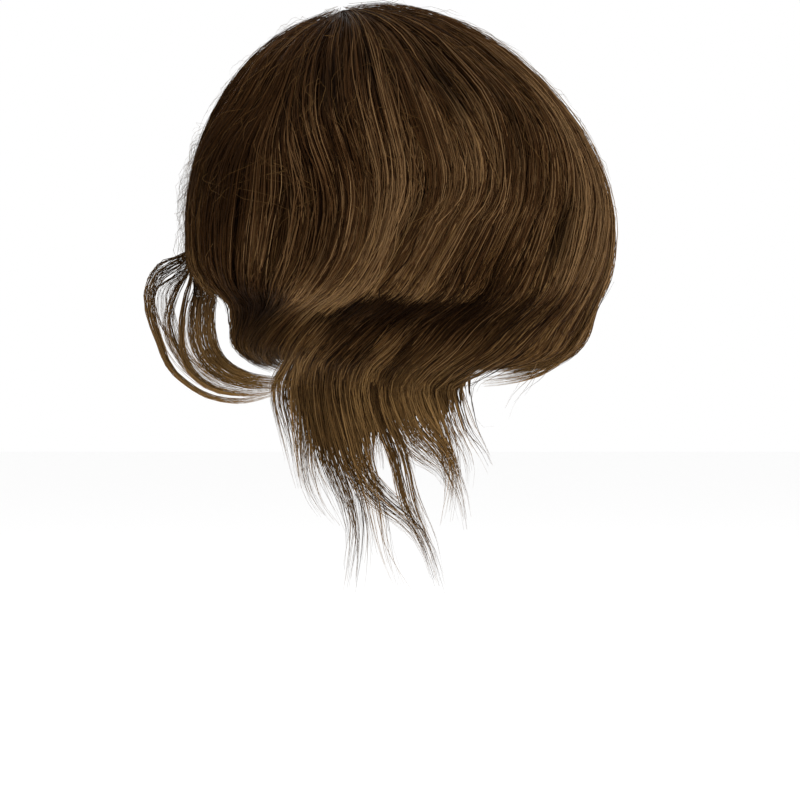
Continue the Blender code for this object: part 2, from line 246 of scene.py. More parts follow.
# Locks of the open curl and one at the right of the hem, by the places that their middles pass, in
# millimetres
CURL_LOCKS = (
    # strands, width share, outer and inner azimuth at the crown, then side, back, drop and half width of
    # each place
    (60, 0.9, 98, 84, (
        (128, 2, 123, 5.4), (137, 2, 129, 5.0), (146, 3, 135, 4.5), (151, 3, 143, 4.0),
        (152, 3, 153, 3.3), (150, 3, 165, 2.5), (145, 4, 176, 2.2), (143, 4, 185, 2.0),
        (137, 12, 195, 1.7), (128, 20, 202, 1.6), (117, 28, 209, 1.6), (105, 36, 212, 1.6),
        (93, 44, 213, 1.6), (81, 52, 210, 1.7), (71, 60, 207, 1.7))),
    (10, 0.7, 92, 88, (
        (146, 4, 136, 0.8), (150, 5, 145, 0.8), (148, 6, 157, 0.7), (143, 7, 170, 0.7),
        (134, 8, 179, 0.7), (126, 20, 187, 0.7), (117, 33, 196, 0.8), (106, 46, 205, 0.9),
        (91, 58, 207, 0.9))),
    (46, 0.5, 96, 82, (
        (136, 6, 134, 3.0), (142, 6, 146, 4.5), (142, 7, 158, 5.0), (139, 8, 170, 5.5),
        (136, 12, 179, 5.5), (129, 20, 189, 5.2), (118, 28, 198, 5.0), (106, 36, 204, 4.8),
        (92, 44, 207, 4.2), (78, 52, 205, 3.5))),
    (34, 0.9, 88, 80, (
        (127, 10, 131, 1.2), (131, 11, 140, 1.9), (136, 11, 150, 2.5), (139, 12, 159, 3.0),
        (140, 13, 169, 3.4), (137, 14, 177, 3.3), (132, 18, 186, 2.7), (126, 26, 195, 2.2),
        (117, 34, 202, 1.7), (106, 42, 207, 1.3), (91, 50, 209, 1.2), (75, 58, 207, 1.2))),
    (36, 0.9, 84, 74, (
        (125, 18, 135, 1.2), (127, 18, 144, 1.4), (129, 19, 154, 1.5), (131, 19, 164, 1.7),
        (131, 19, 174, 1.8), (130, 20, 184, 2.0), (126, 24, 193, 2.1), (119, 31, 201, 2.1),
        (109, 38, 206, 1.9), (96, 45, 208, 1.7), (82, 53, 208, 1.6), (69, 60, 205, 1.5))),
    (8, 0.6, 76, 72, (
        (122, 24, 141, 0.5), (124, 25, 153, 0.5), (125, 26, 163, 0.5), (125, 32, 174, 0.6),
        (123, 44, 184, 0.6), (117, 56, 193, 0.6))),
    (44, 0.6, 82, 60, (
        (120, 30, 145, 3.0), (123, 30, 158, 5.0), (124, 30, 170, 6.0), (121, 32, 182, 6.0),
        (113, 36, 193, 5.0), (101, 42, 200, 4.5), (88, 49, 203, 4.5), (75, 56, 203, 4.0))),
    (190, 0.9, 78, 50, (
        (115, 44, 145, 6.5), (117, 41, 154, 6.8), (118, 38, 164, 7.2), (118, 35, 173, 7.4),
        (116, 32, 182, 7.2), (110, 34, 191, 6.4), (101, 41, 197, 5.2), (89, 48, 201, 4.2),
        (76, 55, 202, 3.5), (64, 62, 202, 3.0))),
    (110, 0.8, -84, -104, (
        (-118, 10, 150, 2.0), (-114, 12, 160, 2.2), (-108, 16, 171, 2.6), (-100, 22, 180, 3.2),
        (-91, 30, 188, 3.8), (-80, 39, 194, 4.4), (-68, 47, 197, 4.6), (-55, 54, 199, 4.4),
        (-46, 58, 200, 3.8))),
)


# Stage
FLOOR_HEIGHT = -0.46
CAMERA_PLACE = (0.0012, 2.0, -0.2118)
LIT_PLACE = (0, 0, -0.12)
LIGHTS = (
    # name, place, power in watts, size
    ("key", (-1.1, 1.9, 1.0), 40, 0.6),
    ("top", (0.2, 0.2, 1.6), 16, 0.9),
    ("fill", (1.6, 1.2, 0.1), 3, 1.2),
    ("front", (0.3, -1.8, 0.8), 14, 1.2),
)


class HairSizes(bpy.types.PropertyGroup):
    """Sizes and numbers of the strands."""
    strand_width: FloatProperty(
        name="Strand width", description="Width of a bundle of hairs at its thick part",
        default=0.00062, min=0.0002, unit="LENGTH")
    loose_width: FloatProperty(
        name="Loose hair width", description="Width of a loose hair at the outline",
        default=0.00022, min=0.0001, unit="LENGTH")
    back_strands: IntProperty(
        name="Back strands", description="Strands on each of the three back sections", default=1380)
    side_strands: IntProperty(
        name="Side strands", description="Strands on each side section", default=540)
    front_strands: IntProperty(
        name="Front strands", description="Strands on the front section", default=560)
    loose_hairs: IntProperty(
        name="Loose hairs", description="Hairs that stand off the outline", default=1150)
    under_depth: FloatProperty(
        name="Under hair depth", description="How far the under hair lies below the strands",
        default=0.0035, unit="LENGTH")


class HairColours(bpy.types.PropertyGroup):
    """Colours of the hair and the base."""
    dark: FloatVectorProperty(
        name="Dark", description="Hair at its roots and in its shadows", subtype="COLOR",
        default=(0.0085, 0.0036, 0.0015))
    middle: FloatVectorProperty(
        name="Middle", description="Hair along its length", subtype="COLOR",
        default=(0.046, 0.0206, 0.0074))
    # The light end also colours the painted highlights that the patches add
    light: FloatVectorProperty(
        name="Light", description="Lightest strands", subtype="COLOR",
        default=(0.200, 0.116, 0.052))
    # Light tip colour: the hair's own lighter ends, lifted further as painted light for thin hair with light
    # shining through
    tip: FloatVectorProperty(
        name="Tip", description="Thin ends and loose hairs", subtype="COLOR",
        default=(0.300, 0.170, 0.058))
    lace: FloatVectorProperty(
        name="Lace", description="Base", subtype="COLOR", default=(0.42, 0.26, 0.17))


def ease(share):
    """Smooth step from 0 to 1."""
    share = np.clip(share, 0.0, 1.0)
    return share * share * (3 - 2 * share)


def bump(place):
    """Smooth hill of height 1 at 0 that ends at -1 and 1."""
    return 0.5 + 0.5 * np.cos(np.pi * np.clip(place, -1, 1))


def mix(first, last, share):
    """Value at a share of the way from the first to the last."""
    return first + (last - first) * share


def plan_radius(azimuth):
    """Reach of the hair's widest ring at an azimuth."""
    across = np.abs(np.sin(np.radians(azimuth))) / HAIR_HALF_WIDTH
    along = np.abs(np.cos(np.radians(azimuth))) / HAIR_HALF_DEPTH
    return (across ** PLAN_POWER + along ** PLAN_POWER) ** (-1 / PLAN_POWER)


def dome_points(azimuth, turn):
    """Points of the smooth outer form, for arrays of azimuths and turns."""
    reach = plan_radius(azimuth)
    heading = np.stack((np.sin(np.radians(azimuth)), np.cos(np.radians(azimuth))), axis=-1)
    share = np.sin(np.radians(np.clip(turn, 0, 90))) ** (2 / UPPER_POWER)
    place = heading * (reach * share)[..., None] + WHORL * ((1 - share) ** 2)[..., None]
    place_azimuth = np.degrees(np.arctan2(place[..., 0], place[..., 1]))
    rim_share = np.minimum(np.linalg.norm(place, axis=-1) / plan_radius(place_azimuth), 1.0)
    height = (1 - rim_share ** UPPER_POWER) ** (1 / UPPER_POWER)
    below = np.radians(np.clip(turn - 90, 0, 89))
    inwards = np.cos(below) ** (2 / LOWER_POWER)
    drop = (HEM_DROP - WIDEST_DROP) * np.sin(below) ** (2 / LOWER_POWER)
    x = np.where(turn < 90, place[..., 0] + LEAN * height, heading[..., 0] * reach * inwards)
    y = np.where(turn < 90, place[..., 1], heading[..., 1] * reach * inwards)
    z = np.where(turn < 90, (HAIR_LIFT + WIDEST_DROP) * height, -drop) - WIDEST_DROP
    return np.stack((x, y, z), axis=-1)


def outward(points):
    direction = points - HEAD_CENTRE
    return direction / np.linalg.norm(direction, axis=-1, keepdims=True)


def base_distance(direction):
    """Distance from the head's centre to the base's outer face."""
    return ((direction / (np.array(HEAD_HALF_SIZES) + BASE_THICKNESS)) ** 2).sum(axis=-1) ** -0.5


def smooth(values, axis, passes):
    """Even out an array along an axis and keep its ends."""
    values = np.moveaxis(values.copy(), axis, 0)
    for _ in range(passes):
        values[1:-1] = (values[:-2] + 2 * values[1:-1] + values[2:]) / 4
    return np.moveaxis(values, 0, axis)


def make_flow():
    """Fine table of how far the guides carry a lock sideways, by azimuth and turn in steps of 2 degrees."""
    labels, turns = np.arange(-180, 181, 2.0), np.arange(0, 161, 2.0)
    guide_labels = [guide[0] for guide in GUIDES]
    columns = np.array([np.interp(turns, GUIDE_TURNS, guide[1]) - guide[0] for guide in GUIDES])
    table = np.array([np.interp(labels, guide_labels, columns[:, row]) for row in range(len(turns))]).T
    return smooth(smooth(table, 0, 5), 1, 8)


FLOW = make_flow()


def swept_azimuth(azimuth, turn):
    """Real azimuth of a lock, from its azimuth at the crown and a turn."""
    wrapped = (azimuth + 180) % 360
    column, row = np.clip(wrapped / 2, 0, 179.999), np.clip(turn / 2, 0, 79.999)
    column, row = np.broadcast_arrays(column, row)
    left, top = column.astype(int), row.astype(int)
    part, down = column - left, row - top
    upper = FLOW[left, top] * (1 - part) + FLOW[left + 1, top] * part
    lower = FLOW[left, top + 1] * (1 - part) + FLOW[left + 1, top + 1] * part
    return azimuth + upper * (1 - down) + lower * down


def crown_azimuth(azimuth, turn):
    """Azimuth at the crown of the lock that passes a real azimuth at a turn."""
    labels = np.arange(-180, 181, 1.0)
    return np.interp(azimuth, swept_azimuth(labels, turn + 0 * labels), labels)


def wave_height(azimuth, turn):
    """Height of the waves across the locks, at a real azimuth and turn."""
    total = 0.0 * azimuth
    for centre, reach, wave_turn, turn_reach, height in WAVES:
        total = total + height * bump((azimuth - centre) / reach) * bump((turn - wave_turn) / turn_reach)
    return total * WAVE_DEPTH


def seam_depth(azimuth, turn):
    """Share of how deep in a seam a strand lies, from its azimuth at the crown."""
    total = 0.0 * azimuth
    for centre, half, first, last, depth in SEAMS:
        middle, reach = (first + last) / 2, (last - first) / 2
        total = total + depth * bump((azimuth - centre) / (2 * half)) * bump((turn - middle) / reach)
    return np.minimum(total, 1.0)


def painted_light_tone(azimuth, turn):
    """Painted light (above 0) and painted shade (below 0) on the hair at a real azimuth and turn."""
    total = 0.0 * azimuth
    for centre, reach, patch_turn, turn_reach, painted_light_shade in PAINTED_LIGHT_PATCHES:
        total = total + painted_light_shade * bump((azimuth - centre) / (1.6 * reach)) * bump(
            (turn - patch_turn) / (1.6 * turn_reach))
    return total


def hem_turn(azimuth):
    """Turn at which the hair ends, from its azimuth at the crown."""
    rows = np.array(HEM, dtype=float)
    return np.interp((azimuth + 180) % 360 - 180, rows[:, 0], rows[:, 1])


def hair_surface(azimuth, turn, lift, aside=0.0, beside=None, gather=0.0):
    """Points of the hair at a lift over its outer form, the share of painted shade in the seams, and the
    painted light and shade of the patches.
    """
    azimuth, turn = np.broadcast_arrays(azimuth, turn)
    real = swept_azimuth(azimuth, turn)
    if beside is not None:
        real = mix(real, swept_azimuth(beside, turn), gather)
    real = real + aside
    points = dome_points(real, turn)
    wrapped = (real + 180) % 360 - 180
    seam = seam_depth((azimuth + 180) % 360 - 180, turn)
    waves = wave_height(wrapped, turn)
    rise = waves + lift - SEAM_DEPTH * seam
    return points + outward(points) * rise[..., None], seam, painted_light_tone(wrapped, turn)


def smooth_noise(rng, count, knots, samples):
    """Smooth random curves from -1 to 1, one per row."""
    places = np.linspace(0, knots - 1, samples)
    values = rng.uniform(-1, 1, (count, knots))
    low = np.minimum(places.astype(int), knots - 2)
    part = ease(places - low)
    return values[:, low] * (1 - part) + values[:, low + 1] * part


def add_piece(name, mesh):
    """New object of the scene that shows a mesh."""
    piece = bpy.data.objects.new(name, mesh)
    bpy.context.scene.collection.objects.link(piece)
    return piece


def strand_mesh(name, paths, half_widths, places, rng):
    """Joined mesh of closed three sided strands along arrays of paths."""
    count, rings, _ = paths.shape
    tangent = np.gradient(paths, axis=1)
    tangent /= np.linalg.norm(tangent, axis=-1, keepdims=True) + 1e-12
    side = np.cross(tangent, outward(paths))
    side /= np.linalg.norm(side, axis=-1, keepdims=True) + 1e-12
    up = np.cross(side, tangent)
    roll = LARGEST_ROLL * (rng.uniform(-1, 1, (count, 1)) + 0.5 * smooth_noise(rng, count, 4, rings))
    roll = roll[..., None]
    side, up = side * np.cos(roll) + up * np.sin(roll), up * np.cos(roll) - side * np.sin(roll)
    width = half_widths[..., None]
    corners = np.stack((paths - side * width, paths + side * width, paths + up * width), axis=2)
    vertices = corners.reshape(-1, 3)
    start = (np.arange(count) * rings * 3)[:, None, None]
    ring = (np.arange(rings - 1) * 3)[None, :, None]
    corner = np.arange(3)[None, None, :]
    following = (corner + 1) % 3
    first = start + ring
    quads = np.stack((first + corner, first + following, first + following + 3, first + corner + 3), axis=-1)
    root = (np.arange(count) * rings * 3)[:, None] + np.array((2, 1, 0))
    tip = (np.arange(count) * rings * 3 + (rings - 1) * 3)[:, None] + np.array((0, 1, 2))
    quads = quads.reshape(-1, 4)
    caps = np.concatenate((root, tip))
    mesh = bpy.data.meshes.new(name)
    mesh.vertices.add(len(vertices))
    mesh.vertices.foreach_set("co", vertices.astype(np.float32).ravel())
    mesh.loops.add(quads.size + caps.size)
    mesh.loops.foreach_set("vertex_index", np.concatenate((quads.ravel(), caps.ravel())).astype(np.int32))
    mesh.polygons.add(len(quads) + len(caps))
    starts = np.concatenate((np.arange(len(quads)) * 4, quads.size + np.arange(len(caps)) * 3))
    mesh.polygons.foreach_set("loop_start", starts.astype(np.int32))
    mesh.update(calc_edges=True)
    lay = mesh.attributes.new("lay", "FLOAT_VECTOR", "POINT")
    lay.data.foreach_set("vector", np.repeat(places.reshape(-1, 3), 3, axis=0).astype(np.float32).ravel())
    mesh.shade_smooth()
    return add_piece(name, mesh)


def taper(along, root_share, tip_share, tip_from):
    """Width shares along a strand: thin at the root, full in the middle and thin at the tip."""
    rising = mix(root_share, 1.0, ease(along / 0.15))
    falling = mix(1.0, tip_share, ease((along - tip_from) / (1 - tip_from)))
    return rising * falling


def dome_strands(name, rng, count, first, last, rings, width):
    """Strands on a stretch of the hair between two azimuths, gathered in small locks."""
    # Azimuths at the crown: some strands are even there, the others at the widest place
    ends = swept_azimuth(np.array((first, last), dtype=float), WIDEST_TURN)
    widest = np.sort(rng.uniform(ends[0], ends[1], count))
    even = rng.uniform(first, last, count)
    labels = np.arange(first, last + 1, 1.0)
    label = np.interp(widest, np.maximum.accumulate(swept_azimuth(labels, WIDEST_TURN)), labels)
    label = np.where(rng.uniform(0, 1, count) < EVEN_SHARE, even, label)
    along = np.linspace(0, 1, rings)
    # Locks that the strands gather in
    locks = int((last - first) / LOCK_SPACING)
    lock_label = np.sort(rng.uniform(first, last, locks))
    nearest = np.abs(label[:, None] - lock_label[None, :]).argmin(axis=1)
    lock_end = rng.uniform(-4, 4, locks)
    lock_lift = rng.uniform(-0.0010, 0.0016, locks)
    lock_tone = rng.uniform(-1, 1, locks)
    lock_wave = smooth_noise(rng, locks, 6, rings)
    # Turns of the roots and the ends
    start = np.degrees(np.arccos(1 - rng.uniform(0.0, 1.0, count) ** 1.6 * 0.80)) + 1.0
    start = np.where(rng.uniform(0, 1, count) < LATE_START_SHARE, rng.uniform(55, 112, count), start)
    start = np.minimum(start, hem_turn(label) - 22)
    end = hem_turn(label) + lock_end[nearest] + rng.uniform(-5, 3, count)
    layered = rng.uniform(0, 1, count) < LAYERED_SHARE
    end = np.where(layered, mix(start + 26, end, rng.uniform(0.5, 1.0, count)), end)
    at_nape = bump((swept_azimuth(label, 146.0) - 16) / 56) > rng.uniform(0.1, 0.9, count)
    end = np.where(at_nape, np.minimum(end, rng.uniform(112, 146, count)), end)
    end = np.maximum(end, start + 14)
    turn = start[:, None] + (end - start)[:, None] * along[None, :]
    # Way aside and lift over the outer form
    offset = (label - lock_label[nearest])[:, None]
    gather = ease((turn - 40) / 90) * rng.uniform(0.0, 0.55, (count, 1))
    stray = rng.uniform(0, 1, (count, 1)) < STRAY_SHARE
    aside = 0.9 * lock_wave[nearest] * ease((turn - 20) / 60)
    aside = aside + np.where(stray, 2.4, 0.6) * smooth_noise(rng, count, 6, rings) * ease((turn - 10) / 40)
    crown = 1 - np.minimum(np.abs(offset) / 2.0, 1) ** 2
    lift = lock_lift[nearest][:, None] + 0.0014 * crown * ease((turn - 30) / 60)
    lift = lift + rng.uniform(-0.0026, 0.0006, (count, 1)) + 0.0008 * smooth_noise(rng, count, 6, rings)
    rooted = (1 - ease(along / 0.10))[None, :] * ease(start / 30)[:, None]
    lift = lift + np.where(stray, 0.0010, 0.0) - 0.004 * rooted
    beside = lock_label[nearest][:, None]
    paths, seam, painted_light_shade = hair_surface(label[:, None], turn, lift, aside, beside, gather)
    # Tone with the patches' painted highlights and painted shade, share of the length, and painted shade in
    # the seams and on strands that lie low
    tone = 0.41 + 0.16 * lock_tone[nearest][:, None] + rng.normal(0, 0.20, (count, 1)) + np.maximum(painted_light_shade, 0)
    tone = tone * np.clip(1 + painted_light_shade, 0.06, 1)
    shade = np.clip(seam + np.clip(-lift / SEAM_DEPTH, 0, 0.6), 0, 1)
    places = np.stack((np.clip(tone, 0, 1), np.repeat(0.8 * along[None, :], count, axis=0), shade), axis=-1)
    half = width / 2 * rng.uniform(0.5, 1.2, (count, 1)) * taper(along, 0.4, 0.15, 0.78)[None, :]
    return strand_mesh(name, paths, half, places, rng)


def even_path(places, samples=200):
    """Smooth line of many even steps through rows of places."""
    places = np.array(places, dtype=float)
    steps = np.linalg.norm(np.diff(places[:, :3], axis=0), axis=1)
    reach = np.concatenate(((0,), np.cumsum(steps)))
    even = np.linspace(0, reach[-1], samples)
    dense = np.stack([np.interp(even, reach, column) for column in places.T], axis=-1)
    return smooth(dense, 0, 60)


def lock_of_strands(rng, line, spread, along, wild, depth):
    """Paths of strands beside a lock's middle line, whose rows give a place and a half width."""
    samples = len(line)
    count, rings = along.shape
    row = np.clip(along, 0, 1) * (samples - 1)
    low = np.minimum(row.astype(int), samples - 2)
    part = (row - low)[..., None]
    rows = line[low] * (1 - part) + line[low + 1] * part
    tangent = np.gradient(line[:, :3], axis=0)
    across = np.cross(tangent, (0.0, 1.0, 0.0))
    across /= np.linalg.norm(across, axis=-1, keepdims=True) + 1e-12
    spread = spread + 0.20 * smooth_noise(rng, count, 5, rings)
    spread = spread + wild * smooth_noise(rng, count, 4, rings) * ease((along - 0.35) / 0.65)
    deep = rng.uniform(-1, 1, (count, 1)) + 0.3 * smooth_noise(rng, count, 4, rings)
    paths = rows[..., :3] + across[low] * (rows[..., 3] * spread)[..., None]
    paths[..., 1] += deep * depth
    return paths


def fall_back(side, drop):
    """How far behind the head's centre the fall's outer side lies."""
    rows = np.array(FALL_BACK)
    return np.interp(drop, rows[:, 0], rows[:, 1]) - (side - FALL_MIDDLE) ** 2 / FALL_ROUNDNESS


def fall_strands(name, rng, width):
    """Strands that leave the back of the hair at its hem and hang down the nape in locks."""
    rings = 17
    made = []
    for count, hem_half, tip_half, places in FALL_LOCKS:
        side, drop = np.array(places, dtype=float).T / 1000
        label = crown_azimuth(np.degrees(np.arctan2(side[0], 0.080)), 147.0)
        # Each lock starts on the dome, leaves it near the hem and goes on through its places
        turns = np.array((98.0, 105.0, 112.0, 119.0, 126.0, 133.0, 139.0))
        upper, _, _ = hair_surface(label, turns, 0.0022)
        lower = np.stack((side, fall_back(side, drop), -drop), axis=-1)
        hanging = np.interp(np.linspace(0, 1, len(side)), (0, 0.2, 0.5, 1),
                            (hem_half + 2, hem_half + 1.5, hem_half + 1, tip_half + 1))
        half = np.concatenate((np.linspace(9, 6.5, len(turns)), hanging)) / 1000
        line = even_path(np.column_stack((np.concatenate((upper, lower)), half)))
        starts = rng.uniform(0.0, 0.02 if count < 10 else 0.36, count)
        ends = 1 - np.interp(drop[-1], (0.256, 0.320), (0.26, 0.54)) * rng.uniform(0, 1, count) ** 0.75
        along = starts[:, None] + (ends - starts)[:, None] * np.linspace(0, 1, rings)[None, :]
        spread = rng.uniform(-1, 1, (count, 1))
        paths = lock_of_strands(rng, line, spread, along, 1.0, 0.0024)
        tone = 0.51 + rng.uniform(-0.16, 0.16) + rng.normal(0, 0.24, (count, 1))
        tone = tone - 0.44 * (1 - ease(along / 0.6))
        shade = 0.35 * (1 - ease(along / 0.45)) + rng.uniform(0, 0.20, (count, 1))
        share = mix(0.40, 0.80, ease(along * 1.2))
        lay = np.stack((np.clip(tone, 0, 1), share, shade), axis=-1)
        thin = taper(np.linspace(0, 1, rings), 0.4, 0.18, 0.7)[None, :]
        made.append((paths, lay, rng.uniform(0.4, 1.05, (count, 1)) * thin))
    paths, places, half = (np.concatenate(group) for group in zip(*made))
    return strand_mesh(name, paths, width / 2 * half, places, rng)


def sheet_grid(columns, rows):
    """Flat grid that knows its shares across and along, with attributes for the colour and the streaks."""
    mesh = bmesh.new()
    bmesh.ops.create_grid(mesh, x_segments=columns, y_segments=rows, size=0.5)
    across = mesh.verts.layers.float.new("across")
    along = mesh.verts.layers.float.new("along")
    lay = mesh.verts.layers.float_vector.new("lay")
    way = mesh.verts.layers.float_vector.new("way")
    for vertex in mesh.verts:
        vertex[across] = vertex.co.x + 0.5
        vertex[along] = 0.5 - vertex.co.y
    return mesh, across, along, lay, way


def closed_sheet(name, mesh, place):
    """Piece made of a placed sheet, an inner wall that the same function places, and the rim between them."""
    wall = bmesh.ops.extrude_face_region(mesh, geom=list(mesh.faces), use_keep_orig=True)
    place([item for item in wall["geom"] if isinstance(item, bmesh.types.BMVert)], True)
    mesh.verts.index_update()
    count = len(mesh.verts)

    def place_in_order(face):
        """Number of a face by its lowest vertices, because the rim's faces come in another order each run."""
        low, second, third = sorted(vertex.index for vertex in face.verts)[:3]
        return (low * count + second) * count + third

    mesh.faces.sort(key=place_in_order)
    bmesh.ops.recalc_face_normals(mesh, faces=mesh.faces)
    data = bpy.data.meshes.new(name)
    mesh.to_mesh(data)
    mesh.free()
    data.shade_smooth()
    return add_piece(name, data)


def under_fall_mesh(name):
    """Closed thin sheet under the thick upper part of the fall, with a ragged lower edge."""
    mesh, across, along, lay, way = sheet_grid(150, 16)
    edge_rows = np.array(FALL_EDGE)

    def place(vertices, wall):
        for vertex in vertices:
            share = vertex[across]
            side = mix(-0.040, 0.060, share)
            edge = np.interp(side, edge_rows[:, 0], edge_rows[:, 1])
            edge = edge - 0.011 + 0.009 * math.sin(share * 197) * math.sin(share * 61 + 1)
            drop = mix(0.176, edge, vertex[along])
            end = ease((drop - 0.205) / 0.05)
            side = side - 0.006 * float(end) * (share - 0.5)
            inwards = 0.0035 if wall else 0.0012 + 0.0014 * float(end)
            vertex.co = (side, fall_back(side, drop) - inwards, -drop)
            # Shade 0.25 is painted shade under the fall's strands
            vertex[lay] = (0.45, 0.5 + 0.3 * vertex[along], 0.25)
            vertex[way] = (share * 40, drop * 400, 0.0)

    place(mesh.verts, False)
    return closed_sheet(name, mesh, place)


def curl_strands(name, rng, width):
    """Strands of the open curl at the left side, in parallel locks with gaps between them."""
    rings = 20
    made = []
    for count, width_share, outer, inner, places in CURL_LOCKS:
        line = even_path(np.array(places, dtype=float) / 1000 * (1, 1, -1, 1))
        spread = rng.uniform(-1, 1, (count, 1))
        ends = 1 - 0.22 * rng.uniform(0, 1, count) ** 1.5
        along = np.linspace(0, 1, rings)[None, :] * ends[:, None]
        hanging = lock_of_strands(rng, line, spread, (along - 0.20) / 0.80, 0.25, 0.0022)
        # The strands lie on the dome first and leave it at the height of the lock's first place
        label = mix(inner, outer, (spread + 1) / 2)
        drop_share = np.clip((-line[0, 2] - WIDEST_DROP) / (HEM_DROP - WIDEST_DROP), 0, 1)
        leaves = np.degrees(np.arcsin(drop_share ** (LOWER_POWER / 2)))
        turn = mix(rng.uniform(60, 74, (count, 1)), 92 + leaves, along / 0.22)
        laid, _, _ = hair_surface(label, np.minimum(turn, 112.0), -0.0002)
        paths = mix(laid, hanging, ease((along - 0.14) / 0.14)[..., None])
        # The curl's light tone, and the full share of tip colour at its ends, are painted light that stands
        # in for light shining through the thin curl
        tone = 0.78 + rng.uniform(-0.1, 0.1) + rng.normal(0, 0.22, (count, 1))
        tone = tone - 0.56 * (1 - ease(along / 0.50))
        shade = 0.35 * (1 - ease(along / 0.45)) + rng.uniform(0, 0.12, (count, 1))
        share = mix(0.35, 1.0, ease(along * 1.2))
        lay = np.stack((np.clip(tone, 0, 1), share, shade), axis=-1)
        thin = taper(np.linspace(0, 1, rings), 0.5, 0.2, 0.7)[None, :]
        made.append((paths, lay, width_share * rng.uniform(0.4, 0.95, (count, 1)) * thin))
    paths, places, half = (np.concatenate(group) for group in zip(*made))
    return strand_mesh(name, paths, width / 2 * half, places, rng)


def loose_hairs(name, rng, count, width):
    """Single hairs that stand off the hair all round."""
    rings = 8
    curly = rng.uniform(0, 1, count) < 0.16
    label = np.where(curly, rng.uniform(66, 100, count), rng.uniform(-180, 180, count))
    curly_start = rng.uniform(58, 86, count)
    start = np.where(curly, curly_start, np.degrees(np.arccos(1 - rng.uniform(0, 1, count) * 0.9)))
    span = rng.uniform(4, 20, count)
    along = np.linspace(0, 1, rings)
    turn = start[:, None] + span[:, None] * along[None, :]
    turn = np.minimum(turn, hem_turn(label)[:, None] + 3)
    azimuth = label[:, None] + rng.uniform(-8, 8, (count, 1)) * along
    azimuth = azimuth + 2.4 * smooth_noise(rng, count, 4, rings)
    lift = rng.uniform(0.001, 0.0055, (count, 1)) * np.where(curly, 1.7, 1.0)[:, None]
    lift = lift * ease(along * 1.6)[None, :]
    lift = lift + np.where(curly, 0.0030, 0.0018)[:, None] * smooth_noise(rng, count, 6, rings)
    paths, _, _ = hair_surface(azimuth, turn, lift)
    tone = rng.uniform(0.15, 0.6, count)
    places = np.stack((np.repeat(tone[:, None], rings, axis=1), 0.75 + 0.0 * turn, 0.0 * turn), axis=-1)
    half = width / 2 * rng.uniform(0.6, 1.1, (count, 1)) * taper(along, 0.7, 0.3, 0.6)[None, :]
    return strand_mesh(name, paths, half, places, rng)


def under_hair_mesh(name, depth):
    """Closed wall under the strands, from the whorl to the hem."""
    mesh, across, along, lay, way = sheet_grid(180, 62)

    def place(vertices, wall):
        azimuth = np.array([vertex[across] for vertex in vertices]) * 360 - 180
        share = np.array([vertex[along] for vertex in vertices])
        turn = share * (hem_turn(azimuth) - 1)
        ripple = 0.0008 * np.sin(np.radians(azimuth * 18) + 3 * np.sin(np.radians(azimuth * 5)))
        lift = ripple * ease(turn / 40) - depth * ease((turn + 3) / 15)
        points, seam, painted_light_shade = hair_surface(azimuth, turn, lift)
        if wall:
            direction = outward(points)
            filled = np.linalg.norm(points - HEAD_CENTRE, axis=-1) - base_distance(direction) - 0.0006
            thickness = mix(filled, mix(0.0045, 0.0025, share), ease((turn - 20) / 50))
            points = points - direction * np.minimum(thickness, filled)[:, None]
        # The low tone and a shade of 0.45 and more are painted shade under the strands and in the seams; the
        # patches add their painted light and shade
        tone = np.clip((0.24 + np.maximum(painted_light_shade, 0)) * (1 + np.minimum(painted_light_shade, 0)), 0.0, 1.0)
        shade = np.minimum(1.0, 0.45 + seam)
        for vertex, point, light, deep, angle, down in zip(vertices, points, tone, shade, azimuth, turn):
            vertex.co = point
            vertex[lay] = (light, vertex[along] * 0.5, deep)
            vertex[way] = (angle, down, 0.0)

    place(mesh.verts, False)
    bmesh.ops.remove_doubles(mesh, verts=mesh.verts, dist=0.00002)
    return closed_sheet(name, mesh, place)


